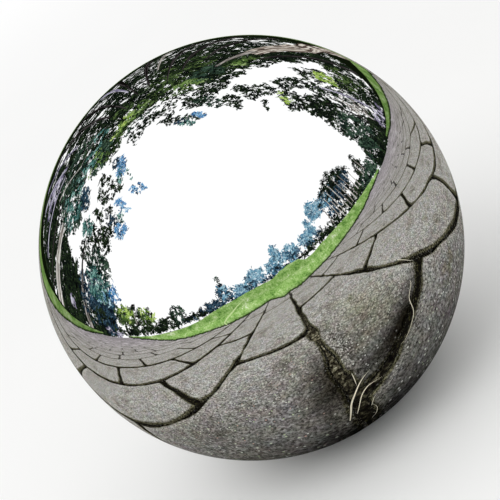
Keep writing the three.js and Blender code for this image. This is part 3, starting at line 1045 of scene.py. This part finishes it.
# Foliage as leaves on a far dome. A clump is azimuth, elevation, half width and half height in
# degrees, seen from the ball, then how often its leaves cover it, and its palette.
palettes = {
    "dark": ["#050706", "#0B100E", "#121A14", "#1D271B", "#2E3D26"],
    "shade": ["#090E0D", "#14201C", "#22322B", "#33483B", "#4A6350"],
    "green": ["#121A10", "#26351E", "#3E532F", "#5B7140", "#0B100A"],
    "bright": ["#2F4620", "#4F6C32", "#72914B", "#9BB275"],
    "sunlit": ["#4F6C32", "#7E9C40", "#A4C258", "#C8DE86"],
    "teal": ["#0D1B1B", "#1B3534", "#335C59", "#5A8B84", "#8DB5AC"],
    "blue": ["#132840", "#22507F", "#3D7BB4", "#6BA6D6", "#A6CBE6"],
    "navy": ["#0B1118", "#16222D", "#283D4D", "#415F73"],
    "distant": ["#2A465A", "#3D6886", "#598EAB", "#8AB8CC", "#B4D3E0"],
    "paleBark": ["#8C8680", "#B7B2AB", "#DAD6D0", "#F0EDE9", "#6C6660"],
    "greyBark": ["#5F5A56", "#837D78", "#A39D97", "#C0BBB5", "#3D3935"],
    "brownBark": ["#5B4D45", "#8D8076", "#BBB0A4", "#DDD5CA", "#2E2521"],
    "darkBark": ["#0E0C0B", "#1C1918", "#2D2A2A", "#443F40"],
    "lilacBark": ["#8D87A0", "#B9B4C8", "#DEDBE8", "#57526A"],
}
foliageSettings = {
    "seed": 11,
    "distance": 20,
    "layerStep": 0.01,
    "leavesPerTwig": 12,
    "twigReach": 1.3,
    "lacyAbove": 57,  # higher up, the twigs are single and let the sky through
    "lacyLeaves": 5,
    "lacyReach": 0.7,
    "lacyCover": 0.75,
    "alongShare": 0.6,  # how far a twig's leaves scatter along it, as a share of its reach
    "acrossShare": 0.25,
    "leafLength": (0.35, 0.95),
    "leafWidth": (0.16, 0.36),
    "leafTurn": 0.7,
    "wildLeaves": 0.3,  # share of leaves with a colour of their own
    "lowest": -0.5,
    "highest": 84,
}
clumps = [
    # dark masses at the back of the trees
    (-80, 11, 13, 12, 2.6, "navy"), (-43, 11, 22, 12, 2.6, "dark"), (-44, 31, 13, 9, 2.2, "shade"),
    (-63, 9, 9, 9, 3.8, "dark"), (-84, 9, 8, 9, 3, "navy"), (-38, 8, 6, 9, 2.4, "dark"),
    (-4, 47, 27, 10, 3.1, "dark"), (-6, 30, 32, 12, 2.6, "dark"), (0, 12, 40, 13, 2.4, "dark"),
    (37, 30, 5.5, 9, 3.2, "dark"), (40, 22, 4, 5, 1.6, "dark"), (0, 1, 42, 3, 3, "dark"),
    (-72, 1, 22, 2.5, 3, "dark"), (72, 1, 24, 2.5, 3, "dark"), (90, 5, 6, 6, 3, "dark"),
    (89, 0.8, 9, 1.2, 3, "dark"), (112, 1.6, 16, 1, 2.5, "shade"), (145, 1.8, 20, 0.8, 1.8, "dark"),
    (172, 2.6, 9, 0.8, 1.8, "navy"), (-168, 3.2, 12, 0.8, 2.4, "navy"), (-142, 2.6, 14, 0.8, 2.4, "navy"),
    (-110, 1.4, 18, 0.9, 2.5, "dark"), (10, 62, 11, 3, 1.1, "dark"), (20, 68, 10, 4, 0.55, "dark"),
    (-20, 66, 9, 2.5, 0.8, "dark"), (66, 47, 4, 5, 1.6, "dark"), (32, 45, 9, 10, 3, "dark"),
    (20, 28, 14, 14, 2.2, "dark"), (37, 16, 5, 16, 2.4, "dark"), (52, 8, 12, 7, 2.6, "dark"),
    (78, 17, 14, 16, 1.8, "dark"), (-55, 12, 12, 10, 2, "dark"),
    # thin sprays at the upper left
    (-99, 65, 3.5, 1, 2, "blue"), (-93, 62, 4, 1.4, 1.8, "blue"), (-89, 53.5, 4.6, 1.7, 1.8, "blue"),
    (-96, 44, 4, 3, 2.2, "blue"), (-85, 46, 4, 2, 1.7, "navy"), (-75, 64, 4, 0.8, 0.8, "teal"),
    (-58, 61, 5.4, 2.6, 4.6, "blue"), (-50, 58, 3, 1.6, 2.4, "navy"), (-70, 57, 4, 2.6, 1.3, "dark"),
    (-68, 60, 5, 1.2, 0.8, "teal"), (-77, 50, 4, 2.6, 0.7, "dark"), (-92, 49, 3, 2, 0.8, "teal"),
    (-63, 54.5, 3.5, 1.3, 1.2, "dark"), (-66, 48.5, 4.2, 1.7, 1.8, "dark"),
    (-55, 50.5, 3.4, 1.6, 1.4, "dark"), (-70, 53, 4, 3, 0.5, "dark"),
    # the tree at the left
    (-72, 43, 4, 1.7, 1.8, "dark"), (-85, 40, 5, 3, 1.6, "dark"), (-79, 35, 9, 4.5, 1.7, "dark"),
    (-67, 35, 4, 3, 2.4, "teal"), (-82, 27, 8, 5, 2.3, "shade"), (-70, 28, 3, 4, 1.4, "dark"),
    (-88, 26, 4, 4, 1.4, "shade"), (-82, 19, 9, 6, 1.5, "teal"), (-94, 17, 3, 3.4, 1.2, "blue"),
    (-88, 13, 5, 3, 0.35, "distant"), (-80, 5, 10, 5, 1.6, "dark"), (-61, 6, 2.4, 1.6, 0.9, "lilacBark"),
    (-27, 12, 3, 6, 1.1, "lilacBark"), (-88, 2, 5, 2, 1, "lilacBark"), (-86, 3, 6, 2.4, 1.2, "navy"),
    # the dark tree behind the ball, from left to right
    (-54, 39, 5, 3, 2.4, "navy"), (-46, 31, 9, 7, 0.9, "teal"), (-37, 47, 7, 6, 2, "shade"),
    (-37, 54, 5, 3.5, 1.5, "green"), (-27, 62.5, 4.5, 1.7, 1.5, "dark"), (-12, 65, 5, 2.6, 2, "dark"),
    (-14, 59, 8, 2, 1.6, "shade"), (-13, 53, 10, 3.6, 1.4, "green"), (-12, 52, 9, 3, 0.8, "bright"),
    (-18, 50, 6, 2, 0.7, "sunlit"), (-38, 44, 5, 4, 0.5, "bright"), (-31, 29, 9, 9, 1.2, "shade"),
    (-30, 40, 9, 5, 0.7, "teal"), (-3, 43, 12, 5, 0.6, "green"), (0, 72.5, 3.5, 2, 2.2, "dark"),
    (4, 67, 4, 3.2, 1, "dark"), (12, 76, 4, 1.6, 2.4, "dark"), (25, 78, 3.5, 1.3, 2.4, "navy"),
    (42, 80, 4, 1.2, 3, "teal"), (44, 76, 5, 1.8, 2.4, "shade"), (53, 74.5, 3.4, 1.5, 3.4, "blue"),
    (35, 66, 5, 5, 2.5, "dark"), (50, 66, 7, 3, 2.1, "shade"), (69, 61, 6, 3.4, 2.6, "dark"),
    (63, 53.5, 7, 2.4, 2, "dark"), (81, 50.5, 4, 0.8, 1.4, "dark"), (40, 56, 6, 5, 1.6, "dark"),
    (18, 58, 8, 1.8, 2.4, "green"), (9, 50, 9, 5, 1, "green"), (22, 52, 6, 3, 1.2, "bright"),
    (28, 47, 5, 7, 1.2, "shade"), (35, 36, 4, 7, 1.6, "green"), (36, 37, 2.6, 3, 1, "bright"),
    (14, 36, 8, 8, 0.9, "green"), (45, 35, 1.6, 2.4, 0.9, "dark"),
    # the tree at the right
    (54, 27, 4, 1.4, 1.7, "dark"), (57, 14, 5, 3, 1.8, "dark"), (56, 20.5, 7, 4.5, 1.6, "dark"),
    (56, 19.5, 5, 3, 1.9, "sunlit"), (50, 10, 8, 4.5, 1.2, "green"), (63, 33, 4, 8, 2.2, "dark"),
    (77, 39, 8, 4, 2, "dark"), (76, 41.5, 4.5, 1.5, 0.9, "sunlit"), (80, 28, 7.5, 8, 2.2, "dark"),
    (85, 12, 8, 9, 2, "shade"), (70, 14, 4, 6, 0.5, "paleBark"), (72, 4, 14, 3.5, 1.6, "dark"),
    (64, 3, 8, 2.5, 0.6, "lilacBark"),
    # low trees far off, from right to left
    (104, 4.5, 11, 2.6, 3, "shade"), (104, 9, 1.2, 3, 3, "dark"), (107, 8, 1.2, 2, 2.4, "dark"),
    (121, 13, 8, 3.6, 3.6, "navy"), (129, 12.6, 7, 3, 3.2, "navy"), (124, 16, 9, 2.6, 1.6, "dark"),
    (134, 14, 4, 3, 1.6, "distant"), (123, 6, 12, 4, 1.1, "dark"), (130, 7, 9, 3, 0.8, "navy"),
    (142, 14.5, 4.4, 4.2, 3.6, "distant"), (125, 4, 14, 2.4, 2, "dark"),
    (150, 9.5, 2.2, 4.6, 3.2, "distant"), (155, 7, 3.4, 3.2, 3.4, "distant"),
    (148, 3, 12, 1.8, 1.4, "dark"), (165, 7, 4.2, 3.6, 3.4, "distant"), (172, 11, 2, 4.8, 2.6, "distant"),
    (175, 6.5, 5, 3.6, 3.4, "distant"), (-173, 7.5, 5, 3.5, 3.6, "distant"),
    (-163, 5.5, 5, 2.8, 2.8, "distant"), (-155, 8, 2.6, 4.8, 3, "navy"), (-155, 9, 2.4, 4, 1, "distant"),
    (150, 5, 6, 1.2, 0.7, "navy"), (164, 4.6, 5, 1.1, 0.7, "navy"), (176, 4.6, 6, 1.1, 0.7, "navy"),
    (-170, 5, 5, 1.1, 0.7, "navy"), (-156, 15, 1.6, 1.2, 0.7, "shade"), (-146, 4.6, 6, 2, 2.6, "navy"),
    (-128, 6, 4, 4.6, 1.8, "shade"), (-120, 4, 6, 2.6, 1.8, "dark"), (-110, 8, 5, 4, 2.4, "green"),
    (-104, 9, 2, 5, 1.4, "darkBark"), (-98, 9, 6, 4.5, 2.6, "green"), (-99, 9.5, 5, 3, 0.9, "sunlit"),
    (-111, 8, 4, 3, 0.7, "sunlit"), (-103, 3, 14, 1.8, 1.8, "dark"), (-137, 3, 6, 1.4, 1.6, "dark"),
    (-65.5, 17, 2.6, 4.5, 2.2, "dark"), (-72, 11, 4, 5, 0.8, "navy"), (40, 61, 5, 4, 1, "dark"),
]
# A palm is the azimuth and elevation of its crown, the length of its fronds and the elevation of
# its foot, in degrees.
palms = [
    (103.5, 13.5, 2.2, 6), (106, 11, 2, 5), (112, 14, 2.8, 4), (114.5, 16, 3.2, 4), (117.5, 17.5, 3, 3),
    (121.5, 19.5, 3.4, 2.5), (126, 19, 3.2, 2.5), (129.5, 17, 3, 2.5), (133, 16.5, 2.8, 2.5),
    (137.5, 13.5, 2.2, 3), (119.5, 14, 2.4, 2), (124, 14.5, 2.4, 2), (131, 13, 2.4, 2), (-104, 12, 2, 5),
]
palmSettings = {
    "fronds": 13,
    "firstFrond": -30,
    "frondStep": 20,
    "frondTurn": 0.15,
    "parts": 3,
    "firstReach": 0.25,  # these are shares of a frond's length
    "partReach": 0.3,
    "sag": 0.09,
    "cardLength": 0.24,
    "cardWidth": 0.24,
    "narrowing": 0.05,
    "droop": 0.35,
}
# A stem is azimuth and elevation at its foot and at its top, its width at both in degrees, its
# distance in metres, and its palette.
stems = [
    (-71.5, 0.5, -70.5, 19, 2.6, 1.6, 19, "greyBark"), (-70.5, 18, -68.5, 33, 1.6, 0.7, 19, "darkBark"),
    (-48.5, 0.2, -46.5, 22, 4.6, 3, 19, "paleBark"), (-42, 1, -38, 26, 1.4, 0.8, 19, "darkBark"),
    (18, -9, 29, 8, 4.5, 6.5, 0.8, "brownBark"), (28.7, 7, 32, 27, 6.5, 5.5, 0.8, "brownBark"),
    (30.5, 24, 28.4, 41, 2.8, 1.2, 0.79, "greyBark"), (-35, 4, -28.2, 21, 1.3, 0.9, 18.4, "lilacBark"),
    (-34, 19, -32.9, 34, 0.7, 0.6, 18.4, "paleBark"), (-32.9, 33.5, -24, 38, 0.6, 0.3, 18.4, "paleBark"),
    (38, 0, 38, 30, 2, 1.2, 19, "darkBark"), (64, 0, 64.5, 30, 1.7, 0.8, 19, "lilacBark"),
    (71, 2, 70, 22, 1, 0.6, 19, "paleBark"), (75, 1, 76, 26, 1.2, 0.8, 19, "darkBark"),
    (-22, 2, -25, 20, 1.6, 1.1, 18.5, "lilacBark"), (-17, -1, -20, 22, 0.9, 0.6, 18, "lilacBark"),
    (-13, -3, -14, 36, 2, 0.9, 18, "darkBark"), (-8, -3, -10, 44, 1.5, 0.6, 18, "darkBark"),
    (-4, -3, -4, 30, 0.9, 0.5, 18, "lilacBark"), (-2, -3, -3, 40, 1, 0.5, 18, "darkBark"),
    (2, -3, 2, 40, 1.1, 0.5, 18, "darkBark"), (4, -3, 5, 26, 0.8, 0.5, 18, "greyBark"),
    (8, -3, 9, 44, 1.3, 0.5, 18, "darkBark"), (12, -3, 14, 38, 2, 0.9, 18, "darkBark"),
    (17, -3, 20, 32, 1.6, 0.8, 18, "darkBark"),
]
stemSettings = {
    "seed": 5,
    "levels": 9,
    "strips": 5,
    "wideStrips": 12,  # for stems wider than wideFrom degrees
    "wideFrom": 5,
    "sway": 0.12,
    "plainBark": 0.6,  # share of a strip that keeps one colour
    "trunkShift": 0.4,
    "trunkTop": 0.7,  # palm trunks end this share of a frond's length below the crown
    "trunkWidths": (0.65, 0.4),
    "trunkDistance": 18.2,
}


def addTinted(name, vertices, faces, colours, material):
    piece = addMesh(name, vertices, faces, material)
    layer = piece.data.attributes.new("tint", "FLOAT_COLOR", "FACE")
    layer.data.foreach_set("color", [channel for colour in colours for channel in toLinear(colour)])
    hideFromCamera(piece)


# Leaves and bark are so far off that they glow in one flat colour each, with their light and shade painted
# into it. The near blades are matt and take the light.
def makeTinted(name, shader):
    material, tree = startMaterial(name)
    tint = addNode(tree, "Attribute", {"attribute_name": "tint"})
    addNode(tree, "OutputMaterial", inputs={"Surface": addNode(tree, shader, inputs={"Color": tint})})
    return material


def addCard(lists, centre, turn, halfLength, halfWidth, distance, colour, waist=0.15):
    vertices, faces, colours = lists
    right = centre.cross(Vector((0, 0, 1))).normalized()
    up = right.cross(centre)
    major = (right * math.cos(turn) + up * math.sin(turn)) * math.radians(halfLength)
    minor = (up * math.cos(turn) - right * math.sin(turn)) * math.radians(halfWidth)
    first = len(vertices)
    for corner in (-major, minor - major * waist, major, -minor - major * waist):
        vertices.append(ballCentre + (centre + corner) * distance)
    faces.append((first, first + 1, first + 2, first + 3))
    colours.append(colour)


def addClumps(lists, rng, settings):
    # a leaf is a kite, with twice the area of its half length by its half width
    meanLeaf = (sum(settings["leafLength"]) / 2) * (sum(settings["leafWidth"]) / 2) * 2
    distance = settings["distance"]
    for azimuth, elevation, halfWidth, halfHeight, cover, palette in clumps:
        leaves, spread = settings["leavesPerTwig"], settings["twigReach"]
        if elevation > settings["lacyAbove"]:
            leaves, spread = settings["lacyLeaves"], settings["lacyReach"]
            cover *= settings["lacyCover"]
        area = math.pi * (halfWidth + spread / 2) * (halfHeight + spread / 2)
        distance -= settings["layerStep"]
        for twig in range(round(cover * area / (meanLeaf * leaves))):
            turn, reach = rng.uniform(0, 2 * math.pi), math.sqrt(rng.random())
            twigUp = min(elevation + halfHeight * reach * math.sin(turn), settings["highest"])
            squeeze = math.cos(math.radians(twigUp))
            twigAcross = azimuth + halfWidth * reach * math.cos(turn) / squeeze
            twigColour, droop = rng.choice(palettes[palette]), rng.uniform(0, 2 * math.pi)
            for leaf in range(leaves):
                along = rng.gauss(0, spread * settings["alongShare"])
                off = rng.gauss(0, spread * settings["acrossShare"])
                up = twigUp + along * math.sin(droop) + off * math.cos(droop)
                across = twigAcross + (along * math.cos(droop) - off * math.sin(droop)) / squeeze
                wild = rng.random() < settings["wildLeaves"]
                colour = rng.choice(palettes[palette]) if wild else twigColour
                if up > settings["lowest"]:
                    leafTurn = droop + rng.gauss(0, settings["leafTurn"])
                    length, width = rng.uniform(*settings["leafLength"]), rng.uniform(*settings["leafWidth"])
                    addCard(lists, towards(across, up), leafTurn, length, width, distance, colour)
    return distance


def addPalmCrowns(lists, rng, distance, settings):
    loose = settings["frondTurn"]
    for azimuth, elevation, length, foot in palms:
        distance -= foliageSettings["layerStep"]
        for frond in range(settings["fronds"]):
            turn = math.radians(settings["firstFrond"] + settings["frondStep"] * frond)
            turn += rng.uniform(-loose, loose)
            for part in range(settings["parts"]):
                reach = length * (settings["firstReach"] + settings["partReach"] * part)
                up = elevation + math.sin(turn) * reach - settings["sag"] * length * part ** 2
                lean = turn + settings["droop"] * part * (-1 if math.cos(turn) > 0 else 1)
                colour = rng.choice(palettes["dark"][:4])
                addCard(
                    lists, towards(azimuth + math.cos(turn) * reach, up), lean,
                    length * settings["cardLength"], settings["cardWidth"] - settings["narrowing"] * part,
                    distance, colour,
                )


def makeFoliage():
    rng = random.Random(foliageSettings["seed"])
    lists = [], [], []
    distance = addClumps(lists, rng, foliageSettings)
    addPalmCrowns(lists, rng, distance, palmSettings)
    addTinted("mirroredFoliage", *lists, makeTinted("foliage", "Emission"))
    print("leaves:", len(lists[1]))


def makeStems(settings):
    rng = random.Random(settings["seed"])
    vertices, faces, colours = [], [], []
    trunks, shift, trunkDistance = [], settings["trunkShift"], settings["trunkDistance"]
    for across, up, length, foot in palms:
        footAcross, top = across + rng.uniform(-shift, shift), up - settings["trunkTop"] * length
        bark = rng.choice(["paleBark", "greyBark"])
        trunks.append((footAcross, foot, across, top, *settings["trunkWidths"], trunkDistance, bark))
    levels, sway = settings["levels"], settings["sway"]
    for footAcross, footUp, topAcross, topUp, footWidth, topWidth, distance, palette in stems + trunks:
        strips = settings["wideStrips" if topWidth > settings["wideFrom"] else "strips"]
        sways = [rng.uniform(-sway, sway) for level in range(levels)]
        first = len(vertices)
        for level in range(levels):
            t = level / (levels - 1)
            up = footUp + (topUp - footUp) * t
            width = footWidth + (topWidth - footWidth) * t
            middle = footAcross + (topAcross - footAcross) * t + sways[level] * width
            for strip in range(strips + 1):
                across = middle + (strip / strips - 0.5) * width
                vertices.append(mirroredPlace(across, up, distance))
        for strip in range(strips):
            colour = rng.choice(palettes[palette])
            for level in range(levels - 1):
                a = first + level * (strips + 1) + strip
                faces.append((a, a + 1, a + strips + 2, a + strips + 1))
                plain = rng.random() < settings["plainBark"]
                colours.append(colour if plain else rng.choice(palettes[palette]))
    addTinted("mirroredStems", vertices, faces, colours, makeTinted("bark", "Emission"))


makeFoliage()
makeStems(stemSettings)
print("mirrored trees made")


# Dry blades lying by the ball's foot, and a green one that stands at the edge of the grass. A blade
# starts with its half width in ball radii. A dry one goes on with the pixels of the photograph that
# mirror it, across and down from the upper left. The green one has (x, y, height) in ball radii.
bladeSettings = {
    "dry": "#F4ECD4",
    "fresh": "#CFE6A4",
    "steps": 6,  # between two points of a blade
    "taper": 0.75,
    "widest": 0.8,
    "tip": 0.2,  # least width, as a share of the full one
    "lift": 0.01,  # of a dry blade's middle above the slabs
    "dryBlades": {
        "long": (0.0035, [(410, 282), (411, 286), (409, 300), (413, 313), (411, 325), (405, 340), (400, 346)]),
        "thick": (0.0065, [(350, 420), (351, 411), (352, 402), (358, 387), (364, 377), (371, 369)]),
        "straight": (0.003, [(352, 374), (355, 381), (357, 387)]),
        "bent": (0.0042, [(357, 413), (361, 397), (366, 388), (372, 383), (383, 376)]),
        "stub": (0.0028, [(371, 405), (373, 398), (376, 394)]),
        "curl": (0.002, [(371, 417), (375, 412), (376, 406), (371, 403)]),
        "far": (0.005, [(398, 261), (406, 262), (415, 263)]),
    },
    "greenBlade": (0.05, [
        (-4.6, -8, 0), (-4.6, -8, 0.35), (-4.1, -9.2, 0.75), (-3.4, -9, 1), (-2.6, -9, 1.2),
    ]),
}


# What the ball mirrors at a pixel, on the level of the full ball's lowest point, in ball radii
def mirroredGround(across, down):
    half = cameraSettings["framePixels"] / 2
    right, above = cameraSettings["offsetPixels"]
    view = bpy.context.scene.camera.matrix_world
    sight = Vector((across - half - right, half - above - down, -cameraSettings["focalPixels"]))
    sight = view.to_3x3() @ sight.normalized()
    eye = (view.translation - ballCentre) / ballRadius
    along = eye.dot(sight)
    touch = eye - sight * (along + math.sqrt(along ** 2 - eye.length_squared + 1))
    mirrored = sight.reflect(touch)
    return touch - mirrored * (1 + touch.z) / mirrored.z


def layBlade(pixels, lift):
    spots = [mirroredGround(*pixel) for pixel in pixels]
    last = len(spots) - 1
    return [Vector((spot.x, spot.y, lift if 0 < i < last else 0)) for i, spot in enumerate(spots)]


def makeBlades(settings):
    vertices, faces, colours = [], [], []
    steps, upright = settings["steps"], Vector((0, 0, 1))
    blades = []
    for width, pixels in settings["dryBlades"].values():
        blades.append((width, "dry", layBlade(pixels, settings["lift"])))
    greenWidth, greenPoints = settings["greenBlade"]
    blades.append((greenWidth, "fresh", [Vector(point) for point in greenPoints]))
    for halfWidth, kind, points in blades:
        padded = [2 * points[0] - points[1]] + points + [2 * points[-1] - points[-2]]
        curve = []
        for p0, p1, p2, p3 in zip(padded, padded[1:], padded[2:], padded[3:]):
            for step in range(steps):
                t = step / steps
                # a smooth curve through the points
                curve.append(0.5 * (
                    2 * p1 + (p2 - p0) * t + (2 * p0 - 5 * p1 + 4 * p2 - p3) * t ** 2
                    + (3 * p1 - p0 - 3 * p2 + p3) * t ** 3
                ))
        first, last = len(vertices), len(curve) - 1
        for i, spot in enumerate(curve):
            along = curve[min(i + 1, last)] - curve[max(i - 1, 0)]
            facing = spot - upright if kind == "fresh" else upright
            width = halfWidth * (1 - settings["taper"] * abs(2 * i / last - settings["widest"]) ** 2)
            side = along.cross(facing).normalized() * max(width, halfWidth * settings["tip"])
            vertices += [(spot - side) * ballRadius, (spot + side) * ballRadius]
        for a in range(first, first + 2 * last, 2):
            faces.append((a, a + 1, a + 3, a + 2))
            colours.append(settings[kind])
    addTinted("mirroredBlades", vertices, faces, colours, makeTinted("grassBlade", "BsdfDiffuse"))


makeBlades(bladeSettings)
print("mirrored blades made")
